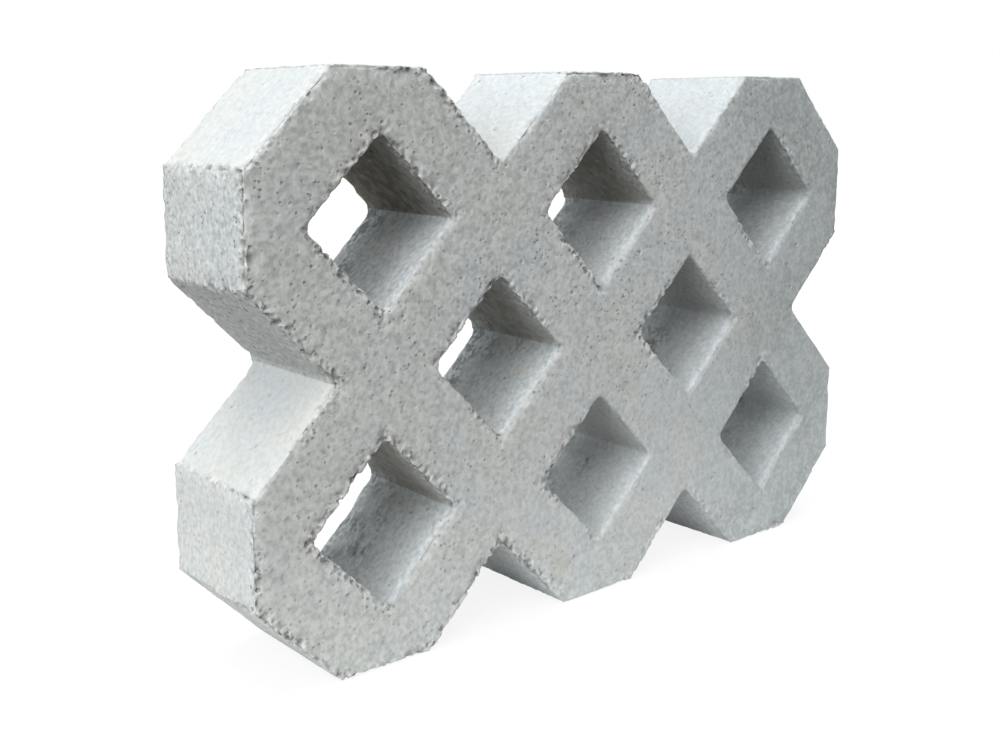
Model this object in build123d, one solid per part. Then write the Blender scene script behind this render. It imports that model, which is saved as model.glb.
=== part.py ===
"""A grass paver: one pressed concrete block of open cells, standing on its long edge.

X runs along the block's length, Y through its thickness and Z up.
The origin is the middle of the edge that it stands on.
The face at -Y is the one that lay on the pallet when the block was pressed.
The cells are narrowest there, because the cores were drawn out of the other face.
"""

from build123d import *
import os
from math import sqrt

# Driving dimensions, in millimetres and degrees.
COLUMNS = 3  # cells along the length
ROWS = 2  # cells up the height
PITCH = 150.0  # from the middle of one cell to the next, both ways
THICKNESS = 80.0  # from face to face
NOTCH_DEPTH = 47.0  # of the notches in the rim, and of the cuts at the four corners
NOTCH_ROOT_RADIUS = 4.0  # at the bottom of a notch
EDGE_CORNER_RADIUS = 4.0  # where a straight edge meets a notch or a corner cut
CELL_WIDTH = 60.0  # from wall to wall of a cell, on the pallet face
CELL_CORNER_RADIUS = 4.0  # in the four corners of a cell, on the pallet face
CELL_DRAFT = 2.0  # degrees that each wall of a cell leans outwards, away from the pallet face
ARRIS_WEAR = 1.0  # taken off the edges round both faces

# Sizes that follow from them.
LENGTH = COLUMNS * PITCH
HEIGHT = ROWS * PITCH
NOTCH_SIDE = NOTCH_DEPTH * sqrt(2)  # a notch is half of a square that stands on its corner

# Profiles are drawn from the block's middle, on the pallet face, and extruded towards +Y.
PALLET_FACE = Plane(origin=(0, -THICKNESS / 2, HEIGHT / 2), x_dir=(1, 0, 0), z_dir=(0, -1, 0))


def rim_distance(place):
    """How far a point of the profile lies inside the block's rim."""
    across = LENGTH / 2 - abs(place.X)
    up = HEIGHT / 2 - abs(place.Y)
    return min(across, up)


def squares():
    """The middle of each square of the grid that the block is made of."""
    return list(GridLocations(PITCH, PITCH, COLUMNS, ROWS))


def crossings(on_rim):
    """Where the squares' corners meet: on the rim, or inside the block."""
    corners = GridLocations(PITCH, PITCH, COLUMNS + 1, ROWS + 1)
    return [corner for corner in corners if (rim_distance(corner.position) < PITCH / 2) == on_rim]


def block_profile():
    """The outline: a rectangle with its corners cut off, and a notch wherever squares meet at its rim."""
    with BuildSketch() as profile:
        Rectangle(LENGTH, HEIGHT)
        with Locations(*crossings(on_rim=True)):
            Rectangle(NOTCH_SIDE, NOTCH_SIDE, rotation=45, mode=Mode.SUBTRACT)
        roots = profile.vertices().filter_by(lambda vertex: rim_distance(vertex) > NOTCH_DEPTH / 2)
        edge_corners = profile.vertices() - roots
        fillet(roots, NOTCH_ROOT_RADIUS)
        fillet(edge_corners, EDGE_CORNER_RADIUS)
    return profile.sketch


def cell_core():
    """What one cell takes out: a square standing on its corner, drawn through the block with draft."""
    with BuildSketch() as profile:
        Rectangle(CELL_WIDTH, CELL_WIDTH, rotation=45)
        fillet(profile.vertices(), CELL_CORNER_RADIUS)
    return extrude(profile.sketch, -THICKNESS, taper=-CELL_DRAFT)


def grass_paver():
    """The whole block, with a cell in every square and one wherever four squares meet."""
    block = extrude(PALLET_FACE * block_profile(), -THICKNESS)
    core = cell_core()
    block -= [PALLET_FACE * place * core for place in squares() + crossings(on_rim=False)]
    return chamfer(block.faces().filter_by(Axis.Y).edges(), ARRIS_WEAR)


if __name__ == "__main__":
    os.makedirs("parts", exist_ok=True)
    export_step(grass_paver(), "parts/grass_paver.step")
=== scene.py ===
"""A pressed concrete grass paver, standing on its long edge on a plain pale floor.

The block is one mesh. It starts as a sheet, the pallet face, which is cut along the lines of its
cells and notches and drawn back to the other face. It is then worn, crumbled and pitted.
"""

import random
from math import ceil, pi, radians, sqrt, tan
from types import SimpleNamespace

import bmesh
import bpy
from mathutils import Euler, Matrix, Vector, noise


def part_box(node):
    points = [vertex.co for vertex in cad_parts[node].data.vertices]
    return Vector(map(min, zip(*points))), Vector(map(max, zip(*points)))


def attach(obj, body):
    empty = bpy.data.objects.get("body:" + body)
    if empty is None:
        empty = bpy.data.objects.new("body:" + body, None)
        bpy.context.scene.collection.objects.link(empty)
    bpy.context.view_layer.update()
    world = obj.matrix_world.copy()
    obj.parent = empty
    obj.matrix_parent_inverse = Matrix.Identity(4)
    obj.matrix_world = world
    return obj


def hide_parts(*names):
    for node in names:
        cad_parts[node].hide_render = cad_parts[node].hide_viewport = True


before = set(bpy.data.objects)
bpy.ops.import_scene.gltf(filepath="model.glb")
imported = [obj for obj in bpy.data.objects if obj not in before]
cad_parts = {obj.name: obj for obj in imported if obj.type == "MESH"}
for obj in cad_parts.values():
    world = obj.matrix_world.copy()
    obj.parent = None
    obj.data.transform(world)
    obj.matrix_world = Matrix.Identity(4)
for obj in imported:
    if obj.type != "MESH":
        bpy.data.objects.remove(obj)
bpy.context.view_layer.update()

# The block's box comes from the frame, and its other sizes are its own, in metres.
MM = 0.001
LOW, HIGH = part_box("grass_paver")
LENGTH = HIGH.x - LOW.x
THICKNESS = HIGH.y - LOW.y
HEIGHT = HIGH.z - LOW.z
COLUMNS = 3
ROWS = 2
PITCH = LENGTH / COLUMNS
NOTCH_DEPTH = 47 * MM
CELL_WIDTH = 60 * MM
CELL_DRAFT = radians(2.0)
CORNER_RADIUS = 4 * MM

# The same sizes measured across the diagonal, which is how the cells and notches run.
DIAGONAL = PITCH / sqrt(2)
CELL_HALF = CELL_WIDTH / 2
NOTCH_HALF = NOTCH_DEPTH / sqrt(2)
ACROSS = Vector((1, 0, 1)).normalized(), Vector((1, 0, -1)).normalized()
POINTING = Vector((1, 0, 0)), Vector((-1, 0, 0)), Vector((0, 0, 1)), Vector((0, 0, -1))
FIRST_CELL = Vector((PITCH / 2 - LENGTH / 2, 0, PITCH / 2))

# How finely the surface is divided: its open parts, the walls' middle, and what is near an edge.
STEP = 4.2 * MM
WALL_STEP = 4.5 * MM
FINE = 1.4 * MM
EDGE_REACH = FINE + STEP
EDGE_LONGEST = 2 * FINE
CRUMBLY_LONGEST = 0.7 * FINE
FRONT_CUTS = 2
BACK_CUTS = 1
SAME = 0.01 * MM

# How far beyond a cell the back face gives way to the draft.
DRAFT_REACH = 20 * MM

# The swell and the roughness of every face: how deep they are, and over what length they vary.
SWELL_DEPTH = 0.22 * MM
SWELL_LENGTH = 38 * MM
ROUGH_DEPTH = 0.16 * MM
ROUGH_LENGTH = 8 * MM

# The arc that rounds an arris: its radius, how that varies, and how much larger it is worn soft.
WEAR_RADIUS = 2.0 * MM
WEAR_LENGTH = 18 * MM
WEAR_MEAN = 0.8
WEAR_SPREAD = 0.6
SOFT_WEAR = 2.3

# What the edges between the rim's flats, notches and cuts have lost, and how far in it reaches.
CORNER_WEAR = 0.5 * MM
CORNER_WEAR_REACH = 3 * MM

# Bites out of the arrises, and grains lost from them: how deep, how long, and how far in. A bias
# above 0 makes more of them. The edges of the rim's walls count as so many times farther away.
BITE_DEPTH = 2.8 * MM
BITE_LENGTH = 6 * MM
BITE_REACH = 6 * MM
BITE_BIAS = 0.1
GRAIN_DEPTH = 2.3 * MM
GRAIN_LENGTH = 3.2 * MM
GRAIN_REACH = 7 * MM
GRAIN_FADE = 4 * MM
GRAIN_BIAS = 0.12
FINE_GRAINS = 0.6
CORNER_SHARE = 2.5

# How strongly the arrises crumble: everywhere, towards the left, and in patches. Then the share
# of it where they are worn soft, and from where on it needs a finer mesh.
LEAST_CRUMBLING = 0.1
LEFT_CRUMBLING = 0.8
PATCH_CRUMBLING = 0.9
PATCH_LENGTH = 30 * MM
SOFT_SHARE = 0.45
CRUMBLY = 0.4

# Over what width beside an edge the way out turns, and how often it is evened out there.
TURN_REACH = 6 * MM
TURNS = 7

# How much the undersides in the rim's notches count for brown painted shade, sand and pocks,
# where a cell's count 1.
RIM_CEILING = 0.3

# The larger pits: how many, how wide, how wide their floor is, how deep they go, and how clear
# of an edge they are. Then the faces that have room for one, and how it is drawn in them.
PIT_COUNT = 170
PIT_WIDTH = 2.2 * MM
PIT_FLOOR = 1.1 * MM
PIT_DEPTH = 0.7 * MM
PIT_CLEAR = 6 * MM
PIT_SIZES = 0.5, 1.2
PIT_SEED = 7
PIT_ROOM = 0.85 * STEP
PIT_INSET = STEP / 4
PIT_FLOOR_INSET = MM / 4
# How strongly a pit's floor counts as hollow, which the material darkens as painted shade.
PIT_HOLLOW = 0.6

# How far apart the noises with different seeds are read.
SEED_SHIFT = 17.3, -9.1, 5.7


def rim_crossings():
    """Where the squares' corners meet on the rim."""
    for column in range(COLUMNS + 1):
        for row in range(ROWS + 1):
            if column in (0, COLUMNS) or row in (0, ROWS):
                yield Vector((column * PITCH - LENGTH / 2, 0, row * PITCH))


def from_rim(point):
    """How far a point is inside the rectangle round the block."""
    return min(LENGTH / 2 - abs(point.x), point.z, HEIGHT - point.z)


def nearest_opening(point):
    """The middle of the cell or notch that a point is nearest to."""
    middle = FIRST_CELL.copy()
    for way in ACROSS:
        middle += way * DIAGONAL * round((point - FIRST_CELL).dot(way) / DIAGONAL)
    return middle


def is_notch(middle):
    """Whether an opening is one of those in the rim."""
    return from_rim(middle) < SAME


def diamond_distance(point, middle):
    """How far a point is from a diamond's middle, measured square to the diamond's nearest side."""
    offset = point - middle
    return max(abs(offset.dot(way)) for way in ACROSS)


def from_wall(point):
    """How far a point of either face is from the wall of the nearest cell or notch."""
    middle = nearest_opening(point)
    return diamond_distance(point, middle) - (NOTCH_HALF if is_notch(middle) else CELL_HALF)


def from_outline(point):
    """How far a point of either face is from the nearest wall, or from the rim."""
    return min(from_wall(point), from_rim(point))


def from_arris(point):
    """How far a point of the surface is from the nearest edge of either face."""
    depth = min(point.y - LOW.y, HIGH.y - point.y)
    return depth if depth > SAME else from_outline(point)


def corners_of_rim():
    """The places along the rim where its flats meet the notches and the corner cuts."""
    places = [crossing + way * NOTCH_DEPTH for crossing in rim_crossings() for way in POINTING]
    return [place for place in places if abs(from_rim(place)) < SAME]


RIM_CORNERS = corners_of_rim()


def from_corner(point):
    """How far a point of the rim's flats, notches and cuts is from an edge between them."""
    if min(point.y - LOW.y, HIGH.y - point.y) < SAME or from_outline(point) > SAME:
        return PITCH
    return min(Vector((point.x - place.x, 0, point.z - place.z)).length for place in RIM_CORNERS)


def evenly(start, end, step):
    """Places from just after start up to end, evenly spaced by about a step."""
    count = max(1, round((end - start) / step))
    return [start + (end - start) * number / count for number in range(1, count + 1)]


def diagonal_lines():
    """Where the sheet is cut across one diagonal, from the middle of a cell to the next one's."""
    near = [CELL_HALF - 2 * FINE, CELL_HALF - FINE, CELL_HALF, CELL_HALF + FINE]
    near += [NOTCH_HALF, NOTCH_HALF + FINE]
    far = [DIAGONAL - mark for mark in reversed(near)]
    lines = evenly(0, near[0], STEP) + near[1:]
    lines += evenly(near[-1], far[0], STEP) + far[1:]
    return lines + evenly(far[-1], DIAGONAL, STEP)


def cut(block, point, normal):
    """Divides everything that a plane crosses."""
    parts = block.verts[:] + block.edges[:] + block.faces[:]
    bmesh.ops.bisect_plane(block, geom=parts, dist=SAME / 10, plane_co=point, plane_no=normal)


def flat_sheet(middle, turned, size):
    """A rectangle of one face round its middle."""
    sheet = bmesh.new()
    place = Matrix.LocRotScale(middle, turned, size)
    bmesh.ops.create_grid(sheet, x_segments=1, y_segments=1, size=0.5, matrix=place)
    return sheet


def pallet_face():
    """The block's front as a sheet, cut along its diagonals, with cells and notches taken out."""
    middle = Vector((0, LOW.y, HEIGHT / 2))
    sheet = flat_sheet(middle, Euler((pi / 2, 0, 0)), Vector((LENGTH, HEIGHT, 1)))
    reach = (LENGTH + HEIGHT) / sqrt(2)
    periods = ceil(reach / DIAGONAL)
    for way in ACROSS:
        for period in range(-periods, periods):
            for line in diagonal_lines():
                cut(sheet, FIRST_CELL + way * (period * DIAGONAL + line), way)
    opened = [face for face in sheet.faces if from_outline(face.calc_center_median()) < 0]
    bmesh.ops.delete(sheet, geom=opened, context="FACES")
    return sheet


def wall_rows():
    """How deep in the block its walls are cut across, finer near both faces."""
    half = [FINE, EDGE_REACH] + evenly(EDGE_REACH, THICKNESS / 2, WALL_STEP)
    return half + [THICKNESS - row for row in reversed(half[:-1])]


def draw_back(block):
    """Extrudes the sheet through the block's thickness and divides the walls into rows."""
    drawn = bmesh.ops.extrude_face_region(block, geom=block.faces[:], use_keep_orig=True)
    moved = [part for part in drawn["geom"] if isinstance(part, bmesh.types.BMVert)]
    bmesh.ops.translate(block, verts=moved, vec=(0, THICKNESS, 0))
    for depth in wall_rows():
        cut(block, Vector((0, LOW.y + depth, 0)), Vector((0, 1, 0)))
    bmesh.ops.recalc_face_normals(block, faces=block.faces)


def varied(point, length, seed=0):
    """Smooth noise from -1 to 1 that changes over a length."""
    return noise.noise(point / length + Vector([seed * shift for shift in SEED_SHIFT]))


def is_lower_right(point):
    """Whether a point is on the lower right of the opening that it is nearest to."""
    offset = point - nearest_opening(point)
    return offset.x > SAME and offset.z < -SAME


def crumbling(point):
    """How strongly the arrises have crumbled near a point, most at the left end and over openings.

    Those at the back, and those on the lower right of an opening, are worn soft instead.
    """
    leftness = 0.5 - point.x / LENGTH
    above = max(0, point.z - nearest_opening(point).z) / DIAGONAL
    strength = LEAST_CRUMBLING + LEFT_CRUMBLING * leftness * (1 + above)
    strength += PATCH_CRUMBLING * varied(point, PATCH_LENGTH, seed=3)
    strength = min(1, max(LEAST_CRUMBLING, strength))
    return strength * (SOFT_SHARE if point.y > 0 or is_lower_right(point) else 1)


def refine(block, chosen, longest, cuts):
    """Divides the edges that are longer than a length and have both ends at chosen places."""
    near = {vertex for vertex in block.verts if chosen(vertex.co)}
    edges = [
        edge
        for edge in block.edges
        if edge.verts[0] in near and edge.verts[1] in near and edge.calc_length() > longest
    ]
    bmesh.ops.subdivide_edges(block, edges=edges, cuts=cuts, use_grid_fill=True)


def by_edge(point):
    """Whether a place is beside an edge of the block."""
    reach = EDGE_REACH + SAME
    return from_arris(point) < reach or from_corner(point) < reach


def by_front_edge(point):
    """Whether a place is beside an edge, in the half of the block that the front is on."""
    return point.y < SAME and by_edge(point)


def by_back_edge(point):
    """Whether a place is beside an edge, in the other half."""
    return point.y > -SAME and by_edge(point)


def by_crumbly_arris(point):
    """Whether a place is beside an arris of the front, where it crumbles most."""
    return point.y < 0 and from_arris(point) < EDGE_REACH + SAME and crumbling(point) > CRUMBLY


def refine_edges(block):
    """Cuts the faces beside each edge finer, and finer again where the front's arrises crumble."""
    refine(block, by_front_edge, EDGE_LONGEST, FRONT_CUTS)
    refine(block, by_back_edge, EDGE_LONGEST, BACK_CUTS)
    refine(block, by_crumbly_arris, CRUMBLY_LONGEST, 1)


def measure(block):
    """Keeps what the wear and the material need of each point's place before it is moved.

    That is how far it is from an arris and from an edge of the rim's walls, and whether it is on
    a wall of the rim, in a cell, or on the underside of a cell or notch.
    """
    kept = block.verts.layers.float
    arris, corner, rim, inside, ceiling = [
        kept.new(name) for name in ("arris", "corner", "rim", "inside", "ceiling")
    ]
    for vertex in block.verts:
        point = vertex.co
        vertex[arris] = from_arris(point)
        vertex[corner] = from_corner(point)
        vertex[rim] = from_rim(point) < SAME
        opening = nearest_opening(point)
        if abs(from_wall(point)) < SAME:
            vertex[rim] = is_notch(opening)
            vertex[inside] = not is_notch(opening)
            if point.z > opening.z:
                vertex[ceiling] = RIM_CEILING if is_notch(opening) else 1
    return arris, corner


def sharpen_rim(block, corner):
    """Keeps the edges between the rim's flats and cuts crisp where faces are shaded smooth."""
    for line in block.edges:
        if all(vertex[corner] < SAME for vertex in line.verts):
            line.smooth = False


def spread_at(point):
    """How far the draft has moved a cell's wall out, at a point's depth."""
    return (point.y - LOW.y) * tan(CELL_DRAFT)


def open_draft(block):
    """Leans the walls of the cells outwards towards the back, and eases the back face with them."""
    for vertex in block.verts:
        cell = nearest_opening(vertex.co)
        out = diamond_distance(vertex.co, cell)
        ease = 1 - (out - CELL_HALF) / DRAFT_REACH
        if ease > 0 and not is_notch(cell):
            offset = vertex.co - cell
            offset.y = 0
            vertex.co += offset * (spread_at(vertex.co) * ease / out)


def round_corners(block):
    """Rounds the inner corners of the cells and the roots of the notches."""
    for vertex in block.verts:
        middle = nearest_opening(vertex.co)
        spread = 0 if is_notch(middle) else spread_at(vertex.co)
        half = (NOTCH_HALF if is_notch(middle) else CELL_HALF) + spread
        if abs(diamond_distance(vertex.co, middle) - half) < SAME:
            pointing = max(POINTING, key=(vertex.co - middle).dot)
            corner = middle + pointing * half * sqrt(2)
            radius = CORNER_RADIUS + spread
            spoke = vertex.co - corner + pointing * radius * sqrt(2)
            spoke.y = 0
            if from_rim(corner) > radius and spoke.dot(pointing) > spoke.length / sqrt(2):
                vertex.co += spoke * (radius / spoke.length - 1)


def lost_grains(point):
    """How much has crumbled away at a point of an arris, from 0 to about 0.8."""
    loss = varied(point, GRAIN_LENGTH, seed=5)
    loss += FINE_GRAINS * varied(point, GRAIN_LENGTH / 2, seed=6)
    return max(0, loss + GRAIN_BIAS)


def grain_fade(distance):
    """The share of the grains that is lost at a distance from an arris."""
    return min(1, max(0, GRAIN_REACH - distance) / GRAIN_FADE)


def crumbled_depth(point, distance, strength):
    """How deep bites and lost grains go at a point, which is at a distance from an arris."""
    depth = 0
    if distance < BITE_REACH:
        bite = max(0, varied(point, BITE_LENGTH, seed=4) + BITE_BIAS)
        depth += BITE_DEPTH * bite * strength * (1 - distance / BITE_REACH)
    fade = grain_fade(distance)
    if fade > 0:
        depth += GRAIN_DEPTH * lost_grains(point) * strength * fade
    return depth


def rounding(distance, radius):
    """How deep an arc lies under a face, near the square edge that it replaces."""
    if distance > radius:
        return 0
    if distance < SAME:
        return radius * (sqrt(2) - 1)
    return radius - sqrt(radius**2 - (radius - distance) ** 2)


def ways_out(block, arris, corner):
    """Which way is out at each point: square to its face, but turning slowly beside an edge.

    Points that sink along these ways don't cross each other where two faces meet.
    """
    block.normal_update()
    ways = {vertex: vertex.normal.copy() for vertex in block.verts}
    near = [vertex for vertex in block.verts if min(vertex[arris], vertex[corner]) < TURN_REACH]
    for turn in range(TURNS):
        turned = {}
        for vertex in near:
            total = ways[vertex].copy()
            for edge in vertex.link_edges:
                total += ways[edge.other_vert(vertex)]
            turned[vertex] = total.normalized()
        ways.update(turned)
    return ways


def wear(block, arris, corner):
    """Sinks each point by the swell and roughness of its face, and by what its edges have lost."""
    hollow = block.verts.layers.float.new("hollow")
    crumble = block.verts.layers.float.new("crumble")
    ways = ways_out(block, arris, corner)
    sinks = []
    for vertex in block.verts:
        point = vertex.co
        sink = SWELL_DEPTH * (1 + varied(point, SWELL_LENGTH))
        sink += ROUGH_DEPTH * (1 + varied(point, ROUGH_LENGTH, seed=1))
        radius = WEAR_RADIUS * (WEAR_MEAN + WEAR_SPREAD * varied(point, WEAR_LENGTH, seed=2))
        sink += rounding(vertex[arris], radius * (SOFT_WEAR if is_lower_right(point) else 1))
        sink += CORNER_WEAR * max(0, 1 - vertex[corner] / CORNER_WEAR_REACH) ** 2
        distance = min(vertex[arris], CORNER_SHARE * vertex[corner])
        strength = crumbling(point)
        loss = crumbled_depth(point, distance, strength)
        # How deep the point has crumbled, which the material darkens as painted shade.
        vertex[hollow] = min(1, loss / GRAIN_DEPTH)
        vertex[crumble] = strength * grain_fade(distance)
        sinks.append(sink + loss)
    for vertex, sink in zip(block.verts, sinks):
        vertex.co -= ways[vertex] * sink
    return hollow


def ring_to(face, width):
    """Moves the corners of a face to a circle of a width round its middle."""
    middle = face.calc_center_median()
    for vertex in face.verts:
        spoke = vertex.co - middle
        vertex.co = middle + spoke * (width / 2 / spoke.length)


def whole_place(face):
    """Where a face is in whole millimetres, to put faces in the same order in every run."""
    return [round(value / MM) for value in face.calc_center_median()]


def sink_pits(block, arris, corner, hollow):
    """Sinks small round pits here and there, clear of the edges and of each other."""
    picker = random.Random(PIT_SEED)
    open_faces = [
        face
        for face in block.faces
        if len(face.verts) == 4
        and min(edge.calc_length() for edge in face.edges) > PIT_ROOM
        and all(min(vertex[arris], vertex[corner]) > PIT_CLEAR for vertex in face.verts)
    ]
    open_faces.sort(key=whole_place)
    pits = []
    for face in picker.sample(open_faces, len(open_faces)):
        if len(pits) == PIT_COUNT:
            break
        beside = {other for vertex in face.verts for other in vertex.link_faces}
        if beside.isdisjoint(pits):
            pits.append(face)
    bmesh.ops.inset_individual(block, faces=pits, thickness=PIT_INSET, depth=0)
    sides = [edge for face in pits for edge in face.edges]
    bmesh.ops.subdivide_edges(block, edges=sides, cuts=1)
    sizes = [picker.uniform(*PIT_SIZES) for face in pits]
    for face, size in zip(pits, sizes):
        ring_to(face, PIT_WIDTH * size)
    bmesh.ops.inset_individual(block, faces=pits, thickness=PIT_FLOOR_INSET, depth=0)
    for face, size in zip(pits, sizes):
        ring_to(face, PIT_FLOOR * size)
        bmesh.ops.translate(block, verts=face.verts, vec=face.normal * -PIT_DEPTH * size)
        # The pit's floor is marked for the material's painted shade in the hollows.
        for vertex in face.verts:
            vertex[hollow] = PIT_HOLLOW


def add_object(name, data):
    """A new object in the scene."""
    added = bpy.data.objects.new(name, data)
    bpy.context.scene.collection.objects.link(added)
    return added


def build_block():
    """The whole block as one closed mesh."""
    block = pallet_face()
    draw_back(block)
    refine_edges(block)
    arris, corner = measure(block)
    sharpen_rim(block, corner)
    open_draft(block)
    round_corners(block)
    hollow = wear(block, arris, corner)
    sink_pits(block, arris, corner, hollow)
    for face in block.faces:
        face.smooth = True
    mesh = bpy.data.meshes.new("grass_paver")
    block.to_mesh(mesh)
    block.free()
    return add_object("concrete_block", mesh)


# The Mix node's sockets for colours, which share their names with those for numbers.
MIX_AMOUNT, MIX_FIRST, MIX_SECOND, MIX_RESULT = 0, 6, 7, 2


class Tree:
    """Adds nodes to a shader or a node group, and links what is given to their inputs."""

    def __init__(self, tree):
        self.tree = tree

    def give(self, socket, value):
        """Links a socket to another, or sets its number or colour."""
        if isinstance(value, bpy.types.NodeSocket):
            self.tree.links.new(value, socket)
        else:
            socket.default_value = value

    def add(self, kind, inputs=None, **settings):
        """A node of a kind, with its settings and what its inputs are given."""
        node = self.tree.nodes.new(kind)
        for name, value in settings.items():
            setattr(node, name, value)
        for name, value in (inputs or {}).items():
            self.give(node.inputs[name], value)
        return node

    def math(self, operation, first, second):
        """One sum on two numbers."""
        return self.add("ShaderNodeMath", {0: first, 1: second}, operation=operation).outputs[0]

    def plus(self, first, *others):
        """The sum of several numbers."""
        for other in others:
            first = self.math("ADD", first, other)
        return first

    def less(self, first, *others):
        """A number less one or more others."""
        for other in others:
            first = self.math("SUBTRACT", first, other)
        return first

    def times(self, first, *others):
        """The product of several numbers."""
        for other in others:
            first = self.math("MULTIPLY", first, other)
        return first

    def largest(self, first, *others):
        """The largest of several numbers."""
        for other in others:
            first = self.math("MAXIMUM", first, other)
        return first

    def ramp(self, value, start, end, at_start=0.0, at_end=1.0):
        """Carries a value smoothly from one range to another."""
        span = {"From Min": start, "From Max": end, "To Min": at_start, "To Max": at_end}
        inputs = {"Value": value, **span}
        return self.add("ShaderNodeMapRange", inputs, interpolation_type="SMOOTHSTEP").outputs[0]

    def noise(self, place, length, detail=2.0, roughness=0.5):
        """Noise from 0 to 1 whose largest features are about a length across."""
        inputs = {"Vector": place, "Scale": 1 / length, "Detail": detail, "Roughness": roughness}
        return self.add("ShaderNodeTexNoise", inputs).outputs["Fac"]

    def spots(self, group, place, spacing, share, width):
        """A mask of scattered spots at one spacing."""
        inputs = {"Vector": place, "Spacing": spacing, "Share": share, "Width": width}
        return self.add("ShaderNodeGroup", inputs, node_tree=group).outputs["Spot"]

    def attribute(self, name):
        """A number kept on the block's points."""
        return self.add("ShaderNodeAttribute", attribute_name=name).outputs["Fac"]

    def mix(self, amount, first, second):
        """Carries one colour towards another by an amount from 0 to 1."""
        inputs = {MIX_AMOUNT: amount, MIX_FIRST: first, MIX_SECOND: second}
        return self.add("ShaderNodeMix", inputs, data_type="RGBA").outputs[MIX_RESULT]


def cleared(owner):
    """The nodes of a new material or world, emptied."""
    owner.use_nodes = True
    owner.node_tree.nodes.clear()
    return Tree(owner.node_tree)


# How wide the narrowest spot is against the widest, and how much of a spot is fully there.
NARROWEST_SPOT = 0.5
SPOT_CORE = 0.35


def spots_group():
    """Scattered round spots: a mask that is 1 in a spot and 0 between them."""
    group = bpy.data.node_groups.new("scattered spots", "ShaderNodeTree")
    group.interface.new_socket("Vector", in_out="INPUT", socket_type="NodeSocketVector")
    for name in ("Spacing", "Share", "Width"):
        group.interface.new_socket(name, in_out="INPUT", socket_type="NodeSocketFloat")
    group.interface.new_socket("Spot", in_out="OUTPUT", socket_type="NodeSocketFloat")
    tree = Tree(group)
    given = tree.add("NodeGroupInput").outputs
    scale = tree.math("DIVIDE", 1.0, given["Spacing"])
    cells = tree.add("ShaderNodeTexVoronoi", {"Vector": given["Vector"], "Scale": scale}).outputs
    picks = tree.add("ShaderNodeSeparateColor", {"Color": cells["Color"]}).outputs
    chosen = tree.math("LESS_THAN", picks["Red"], given["Share"])
    radius = tree.math("DIVIDE", tree.times(given["Width"], 0.5), given["Spacing"])
    radius = tree.times(radius, tree.ramp(picks["Green"], 0.0, 1.0, NARROWEST_SPOT, 1.0))
    spot = tree.ramp(cells["Distance"], radius, tree.times(radius, SPOT_CORE))
    tree.add("NodeGroupOutput", {"Spot": tree.times(spot, chosen)})
    return group


# Concrete colours, which are linear.
COOL_GREY = (0.55, 0.58, 0.59, 1)
WARM_GREY = (0.60, 0.605, 0.575, 1)
DARK_SAND = (0.38, 0.395, 0.385, 1)
LIGHT_SAND = (0.76, 0.77, 0.765, 1)
SPOT_GREY = (0.11, 0.115, 0.115, 1)
# Crevice grey colours the nicks, and is the painted shade in crumbled hollows and pit floors.
CREVICE_GREY = (0.20, 0.185, 0.16, 1)
STAIN_YELLOW = (0.57, 0.51, 0.40, 1)
# Brown painted shade for the undersides.
SHADE_BROWN = (0.18, 0.16, 0.12, 1)
# Grey painted shade for the right end and the top, which also darkens the foot.
SHADE_GREY = (0.36, 0.39, 0.385, 1)
# Blue painted shade for deep in the cells.
SHADE_BLUE = (0.15, 0.175, 0.19, 1)

# Its finish, which is dull.
CONCRETE_ROUGHNESS = 0.92
CONCRETE_SPECULAR = 0.3

# How large the concrete's patterns are, from the broadest to the finest.
CLOUD_LENGTH = 42 * MM
STAIN_LENGTH = 24 * MM
STAIN_ROUGHNESS = 0.6
MOTTLE_LENGTH = 7 * MM
SAND_LENGTH = 2.7 * MM

# Spots: how far apart their places are, what share of the places has one, and the widest one.
SMALL_POCKS = 3.0 * MM, 0.45, 2.1 * MM
LARGE_POCKS = 5.3 * MM, 0.5, 3.2 * MM
DARK_SPECKS = 11 * MM, 0.5, 3.6 * MM
LIGHT_SPECKS = 4.5 * MM, 0.4, 2.8 * MM
NICKS = 4.2 * MM, 0.6, 3.4 * MM

# From here on, two numbers are where a mask starts and where it is full, and four are where it
# starts and ends, and how strong it is there.

# The sand shows less towards the lower right. On the rim it shows less too, but for the
# undersides there, and the flats of the left end, most of all the upper one.
DOWNWARD = 1.2
SAND_ACROSS = -0.38, 0.08, 1.1, 0.55
SAND_ON_RIM = 0.0, 1.0, 1.0, 0.42
SAND_UNDER_RIM = 3.2
LEFT_END = LOW.x + MM, LOW.x + 3 * MM, 1.0, 0.0
SAND_UP_END = 0.3 * HEIGHT, 0.7 * HEIGHT, 0.3, 0.75

# Pocks crowd where there are stains, on crumbled places, where shade is painted deep in the cells,
# and on the undersides, but less inside the cells.
POCKS_BY_STAINS = 0.42, 0.66
FEWER_INSIDE = 0.3
POCK_SHARE = 0.0, 1.0, 0.4, 1.0

# Beside crumbled arrises there are nicks and bared grains of sand, and painted shade darkens the
# hollows, broken up by the sand.
NICKED = 0.25, 0.75
HOLLOW_SHADE_SAND = 0.7
HOLLOW_SHADED = 0.5, 1.0, 0.0, 0.6
BARED = 0.52, 0.64

# Grey painted shade lies at the right end and along the top, and the same grey darkens the foot,
# unevenly, on the front and on the walls of the cells that face up.
SHADE_END = 0.1 * LENGTH, 0.42 * LENGTH, 0.0, 0.62
SHADE_TOP = 0.6 * HEIGHT, HEIGHT, 0.0, 0.15
GREY_FOOT = 0.0, 0.2 * HEIGHT, 0.4, 0.0
SHADE_FRONT = LOW.y + MM, LOW.y + 6 * MM, 1.0, 0.5
SHADE_WALLS = 0.9
SHADE_BY_CLOUDS = 0.3, 0.7, 0.6, 1.1
SHADE_BY_SAND = 0.35, 0.65, 1.25, 0.75
SHADE_BY_MOTTLE = 0.35, 0.65, 1.2, 0.8

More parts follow.
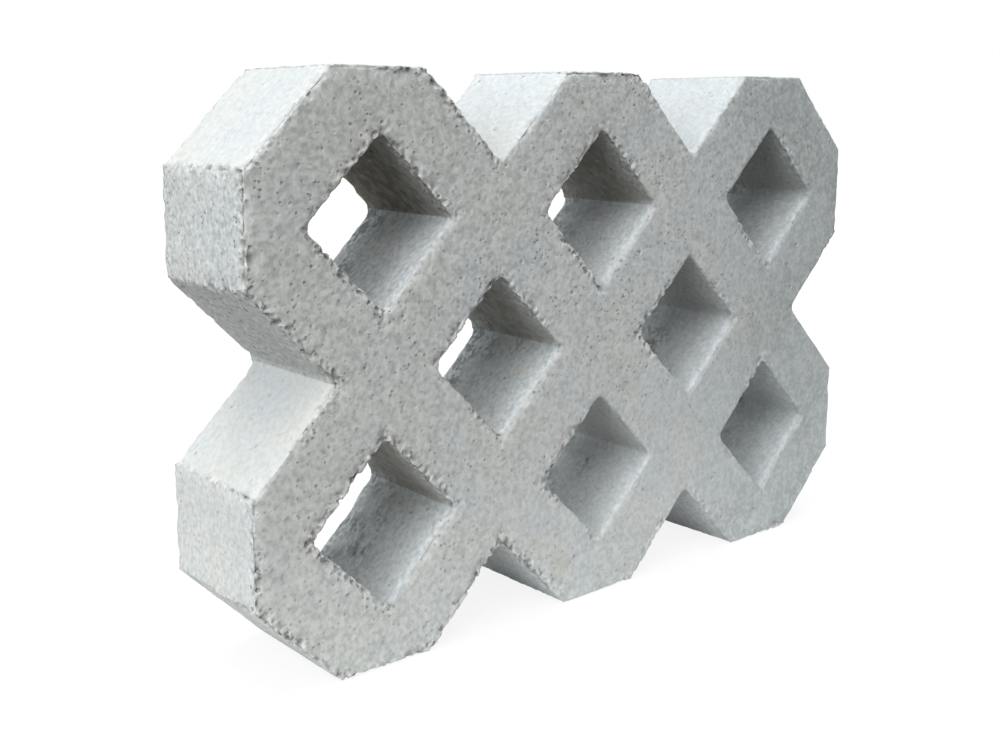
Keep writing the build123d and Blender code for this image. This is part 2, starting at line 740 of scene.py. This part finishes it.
# Blue painted shade is deep in the cells, from a border that wanders with the stains, and in
# blotches.
BLUE_WANDER = 1.6 * THICKNESS
BLUE_DEPTH = 0.85 * THICKNESS, 1.35 * THICKNESS
BLUE_BLOTCHES = 1.2, 0.8, 0.0, 0.8

# Brown painted shade is on the undersides, most at the upper left and away from the front.
BROWN_ACROSS = -0.45, 0.1, 1.0, 0.15
BROWN_BY_MOTTLE = 0.35, 0.65, 0.7, 1.0
BROWN_DEPTH = LOW.y, LOW.y + 30 * MM, 0.6, 1.0

# Painted cool light makes the grey cooler towards the right, on the rim, and on the walls of the
# cells that face up.
PAINTED_COOL_BY_X = 0.35 / LENGTH
PAINTED_COOL_ON_RIM = 0.15
PAINTED_COOL_WALLS = 0.7
WARMED = 0.25, 0.75

# Dark mottle, dark and light grains of sand, and yellow stains, which the rim has fewer of.
DARK_MOTTLE = 0.55, 0.25, 0.0, 0.3
DARK_GRAINS = 0.5, 0.3, 0.0, 0.5
LIGHT_GRAINS = 0.5, 0.7, 0.0, 0.4
YELLOWED = 0.62, 0.78, 0.0, 0.35
YELLOW_ON_RIM = 0.0, 1.0, 1.0, 0.2

# How strongly each kind of mark is coloured, from 0 to 1.
LIGHT_SPECK_TINT = 0.4
BARED_TINT = 0.7
POCK_TINT = 0.45
DARK_SPECK_TINT = 0.45
NICK_TINT = 0.55

# How far the fine relief stands up or is sunk, in millimetres.
MOTTLE_RELIEF = 0.5
SAND_RELIEF = 0.3
DARK_SPECK_DEPTH = 0.3
POCK_DEPTH = 0.4
NICK_DEPTH = 0.9


def read_block(tree):
    """What the concrete reads of a place on the block: where it is, its masks and its noises."""
    place = tree.add("ShaderNodeTexCoord").outputs["Object"]
    across = tree.add("ShaderNodeSeparateXYZ", {"Vector": place}).outputs
    masks = ("hollow", "crumble", "rim", "inside", "ceiling")
    on = SimpleNamespace(place=place, **{name: tree.attribute(name) for name in masks})
    on.x = across["X"]
    on.y = across["Y"]
    on.z = across["Z"]
    on.to_lower_right = tree.plus(on.x, tree.times(on.z, -DOWNWARD))
    on.cell_floors = tree.times(on.inside, tree.less(1.0, on.ceiling))
    on.clouds = tree.noise(place, CLOUD_LENGTH)
    on.stains = tree.noise(place, STAIN_LENGTH, roughness=STAIN_ROUGHNESS)
    on.mottle = tree.noise(place, MOTTLE_LENGTH, detail=1.0)
    on.sand = tree.noise(place, SAND_LENGTH, detail=1.0)
    return on


def bare_sand(tree, on):
    """How much of the concrete's sand shows."""
    undersides = tree.times(on.rim, on.ceiling, SAND_UNDER_RIM)
    by_rim = tree.plus(tree.ramp(on.rim, *SAND_ON_RIM), undersides)
    by_place = tree.times(tree.ramp(on.to_lower_right, *SAND_ACROSS), by_rim)
    left_flats = tree.times(tree.ramp(on.x, *LEFT_END), on.rim)
    return tree.plus(by_place, tree.times(left_flats, tree.ramp(on.z, *SAND_UP_END)))


def grey_shade(tree, on):
    """Grey painted shade at the right end and the top, and the same grey at the foot."""
    darkened = tree.plus(
        tree.ramp(on.x, *SHADE_END), tree.ramp(on.z, *SHADE_TOP), tree.ramp(on.z, *GREY_FOOT)
    )
    uneven = tree.times(
        tree.ramp(on.clouds, *SHADE_BY_CLOUDS),
        tree.ramp(on.sand, *SHADE_BY_SAND),
        tree.ramp(on.mottle, *SHADE_BY_MOTTLE),
    )
    walls = tree.times(on.cell_floors, SHADE_WALLS)
    return tree.times(darkened, uneven, tree.largest(tree.ramp(on.y, *SHADE_FRONT), walls))


def shade_deep_in_cells(tree, on):
    """How much blue painted shade darkens the cells towards the back."""
    depth = tree.plus(on.y, tree.times(on.stains, BLUE_WANDER))
    return tree.times(tree.ramp(depth, *BLUE_DEPTH), on.inside)


def underside_shade(tree, on):
    """How much brown painted shade darkens the undersides."""
    across = tree.ramp(on.to_lower_right, *BROWN_ACROSS)
    mottled = tree.ramp(on.mottle, *BROWN_BY_MOTTLE)
    return tree.times(across, mottled, tree.ramp(on.y, *BROWN_DEPTH), on.ceiling)


def find_marks(tree, on):
    """Masks of the bare sand, the spots and nicks, and the painted shade deep in the cells and in
    hollows.
    """
    kinds = (SMALL_POCKS, LARGE_POCKS, DARK_SPECKS, LIGHT_SPECKS, NICKS)
    group = spots_group()
    small, large, dark, light, nicks = [tree.spots(group, on.place, *kind) for kind in kinds]
    marks = SimpleNamespace(bare=bare_sand(tree, on), deep=shade_deep_in_cells(tree, on))
    marks.dark_specks = dark
    marks.light_specks = light
    crowd = tree.plus(tree.ramp(on.stains, *POCKS_BY_STAINS), on.crumble, marks.deep, on.ceiling)
    crowd = tree.ramp(tree.less(crowd, tree.times(on.inside, FEWER_INSIDE)), *POCK_SHARE)
    marks.pocks = tree.times(tree.largest(small, large), crowd, marks.bare)
    marks.nicks = tree.times(nicks, tree.ramp(on.crumble, *NICKED))
    marks.crumbs = tree.ramp(tree.plus(on.hollow, tree.times(on.sand, HOLLOW_SHADE_SAND)), *HOLLOW_SHADED)
    marks.bared = tree.times(tree.ramp(on.sand, *BARED), on.crumble)
    return marks


def concrete_colour(tree, on, marks):
    """The grey of the concrete with painted cool light, under its sand, stains, painted shade and
    marks in turn.
    """
    warmth_and_painted_cool = tree.less(on.clouds, tree.times(on.x, PAINTED_COOL_BY_X))
    painted_cool = tree.plus(
        tree.times(on.rim, PAINTED_COOL_ON_RIM), tree.times(on.cell_floors, PAINTED_COOL_WALLS)
    )
    yellowed = tree.times(tree.ramp(on.stains, *YELLOWED), tree.ramp(on.rim, *YELLOW_ON_RIM))
    blotches = tree.ramp(tree.plus(on.mottle, on.sand), *BLUE_BLOTCHES)
    coats = (
        (tree.times(tree.ramp(on.mottle, *DARK_MOTTLE), marks.bare), DARK_SAND),
        (tree.times(tree.ramp(on.sand, *DARK_GRAINS), marks.bare), DARK_SAND),
        (tree.times(tree.ramp(on.sand, *LIGHT_GRAINS), marks.bare), LIGHT_SAND),
        (yellowed, STAIN_YELLOW),
        # Grey painted shade at the right end and the top, and darker at the foot.
        (grey_shade(tree, on), SHADE_GREY),
        # Blue painted shade deep in the cells, in blotches.
        (tree.times(marks.deep, blotches), SHADE_BLUE),
        # Brown painted shade on the undersides.
        (underside_shade(tree, on), SHADE_BROWN),
        (tree.times(marks.light_specks, marks.bare, LIGHT_SPECK_TINT), LIGHT_SAND),
        (tree.times(marks.bared, BARED_TINT), LIGHT_SAND),
        (tree.times(marks.pocks, POCK_TINT), SPOT_GREY),
        (tree.times(marks.dark_specks, DARK_SPECK_TINT), SPOT_GREY),
        (tree.times(marks.nicks, NICK_TINT), CREVICE_GREY),
        # Painted shade in the crumbled hollows and pit floors, broken up by the sand.
        (marks.crumbs, CREVICE_GREY),
    )
    # The base grey, warm or cool by the clouds, and painted cooler where cool light falls.
    colour = tree.mix(tree.ramp(tree.less(warmth_and_painted_cool, painted_cool), *WARMED), COOL_GREY, WARM_GREY)
    for amount, coat in coats:
        colour = tree.mix(amount, colour, coat)
    return colour


def concrete_relief(tree, on, marks):
    """The fine relief: the mottle and the sand stand up, and specks, pocks and nicks are sunk."""
    mottle = tree.times(on.mottle, marks.bare, MOTTLE_RELIEF)
    sand = tree.times(on.sand, marks.bare, SAND_RELIEF)
    height = tree.less(
        tree.plus(mottle, sand),
        tree.times(marks.dark_specks, DARK_SPECK_DEPTH),
        tree.times(marks.pocks, POCK_DEPTH),
        tree.times(marks.nicks, NICK_DEPTH),
    )
    inputs = {"Height": height, "Strength": 1.0, "Distance": MM}
    return tree.add("ShaderNodeBump", inputs).outputs["Normal"]


def concrete():
    """Bare pressed concrete: grey, sandy, pocked and crumbled at its arrises, with painted shade
    and painted cool light in places.
    """
    material = bpy.data.materials.new("pressed concrete")
    tree = cleared(material)
    on = read_block(tree)
    marks = find_marks(tree, on)
    finish = {
        "Base Color": concrete_colour(tree, on, marks),
        "Normal": concrete_relief(tree, on, marks),
        "Roughness": CONCRETE_ROUGHNESS,
        "Specular IOR Level": CONCRETE_SPECULAR,
    }
    shader = tree.add("ShaderNodeBsdfPrincipled", finish)
    tree.add("ShaderNodeOutputMaterial", {"Surface": shader.outputs[0]})
    return material


# The floor, and a paler sheet on it round the block: two corners, the height, and how much of
# the light each returns. To the camera both are white, but for a share that shadows darken.
FLOORS = {
    "floor": dict(low=(-30.0, -30.0), high=(30.0, 30.0), level=-0.2 * MM, returned=0.1),
    "sheet": dict(low=(-0.30, -0.115), high=(0.34, 0.26), level=0.0, returned=0.85),
}
SHADOW_SHARE = 0.14


def grey(level):
    """A plain grey as a colour."""
    return (level, level, level, 1)


def floor_material(name, returned):
    """White to the camera, but for the block's shadow, and a plain grey to the light it returns."""
    material = bpy.data.materials.new(name)
    tree = cleared(material)
    rays = tree.add("ShaderNodeLightPath").outputs
    seen = tree.largest(rays["Is Camera Ray"], rays["Is Glossy Ray"], rays["Is Transmission Ray"])
    shadowed = tree.add("ShaderNodeBsdfDiffuse", {"Color": grey(SHADOW_SHARE)})
    glow = tree.add("ShaderNodeEmission", {"Strength": 1 - SHADOW_SHARE})
    white = tree.add("ShaderNodeAddShader", {0: shadowed.outputs[0], 1: glow.outputs[0]})
    dull = tree.add("ShaderNodeBsdfDiffuse", {"Color": grey(returned)})
    mixed = tree.add("ShaderNodeMixShader", {0: seen, 1: dull.outputs[0], 2: white.outputs[0]})
    tree.add("ShaderNodeOutputMaterial", {"Surface": mixed.outputs[0]})
    return material


def lay_floor(name, low, high, level, returned):
    """A flat sheet under the block."""
    middle = Vector(((low[0] + high[0]) / 2, (low[1] + high[1]) / 2, level))
    sheet = flat_sheet(middle, None, Vector((high[0] - low[0], high[1] - low[1], 1)))
    mesh = bpy.data.meshes.new(name)
    sheet.to_mesh(mesh)
    sheet.free()
    mesh.materials.append(floor_material(name, returned))
    add_object(name, mesh)


# The light: an even sky, and lamps like broad far windows. Each lamp is so many degrees from the
# front towards the left, and so many up, and it is so many wide.
SKY_STRENGTH = 0.105
WHITE_LIGHT = (1.0, 1.0, 1.0)
COOL_LIGHT = (0.965, 1.0, 1.03)
LAMPS = {
    "left window": dict(left=88, up=18, width=50, strength=0.69, colour=COOL_LIGHT),
    "high front window": dict(left=41, up=45, width=50, strength=0.44, colour=WHITE_LIGHT),
    "overhead window": dict(left=0, up=90, width=50, strength=0.51, colour=COOL_LIGHT),
    "front window": dict(left=10, up=13, width=50, strength=0.235, colour=WHITE_LIGHT),
    "rear window": dict(left=-150, up=45, width=60, strength=0.27, colour=WHITE_LIGHT),
}


def light_world():
    """An even grey sky, white where the camera sees it."""
    world = bpy.data.worlds.new("studio")
    tree = cleared(world)
    rays = tree.add("ShaderNodeLightPath").outputs
    seen = tree.largest(rays["Is Camera Ray"], rays["Is Glossy Ray"], rays["Is Transmission Ray"])
    sky = tree.add("ShaderNodeBackground", {"Color": grey(1.0), "Strength": SKY_STRENGTH})
    white = tree.add("ShaderNodeBackground", {"Color": grey(1.0), "Strength": 1.0})
    mixed = tree.add("ShaderNodeMixShader", {0: seen, 1: sky.outputs[0], 2: white.outputs[0]})
    tree.add("ShaderNodeOutputWorld", {"Surface": mixed.outputs[0]})
    bpy.context.scene.world = world


def add_lamp(name, left, up, width, strength, colour):
    """A broad far lamp that shines on the block from one side."""
    light = bpy.data.lights.new(name, "SUN")
    light.energy = strength * pi
    light.color = colour
    light.angle = radians(width)
    lamp = add_object(name, light)
    lamp.rotation_euler = (radians(90 - up), 0, radians(-left))


# The view, with the camera's place in metres, its angles in degrees, its lens and its sensor in
# millimetres, and its shift as a share of the sensor.
CAMERA_AT = (-0.4858, -0.5184, 0.2778)
CAMERA_TURN = 40.56
CAMERA_DOWN = 8.78
CAMERA_LENS = 43.84
CAMERA_SENSOR = 36
CAMERA_SHIFT = -0.075


def place_camera():
    """The camera where the photograph was taken from, with no roll."""
    lens = bpy.data.cameras.new("camera")
    lens.lens = CAMERA_LENS
    lens.sensor_width = CAMERA_SENSOR
    lens.shift_y = CAMERA_SHIFT
    camera = add_object("camera", lens)
    camera.location = CAMERA_AT
    camera.rotation_euler = (pi / 2 - radians(CAMERA_DOWN), 0, -radians(CAMERA_TURN))
    bpy.context.scene.camera = camera


paver = build_block()
paver.data.materials.append(concrete())
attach(paver, "root")
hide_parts("grass_paver")

for name, sheet in FLOORS.items():
    lay_floor(name, **sheet)
light_world()
for name, lamp in LAMPS.items():
    add_lamp(name, **lamp)
place_camera()
bpy.context.scene.view_settings.view_transform = "Standard"
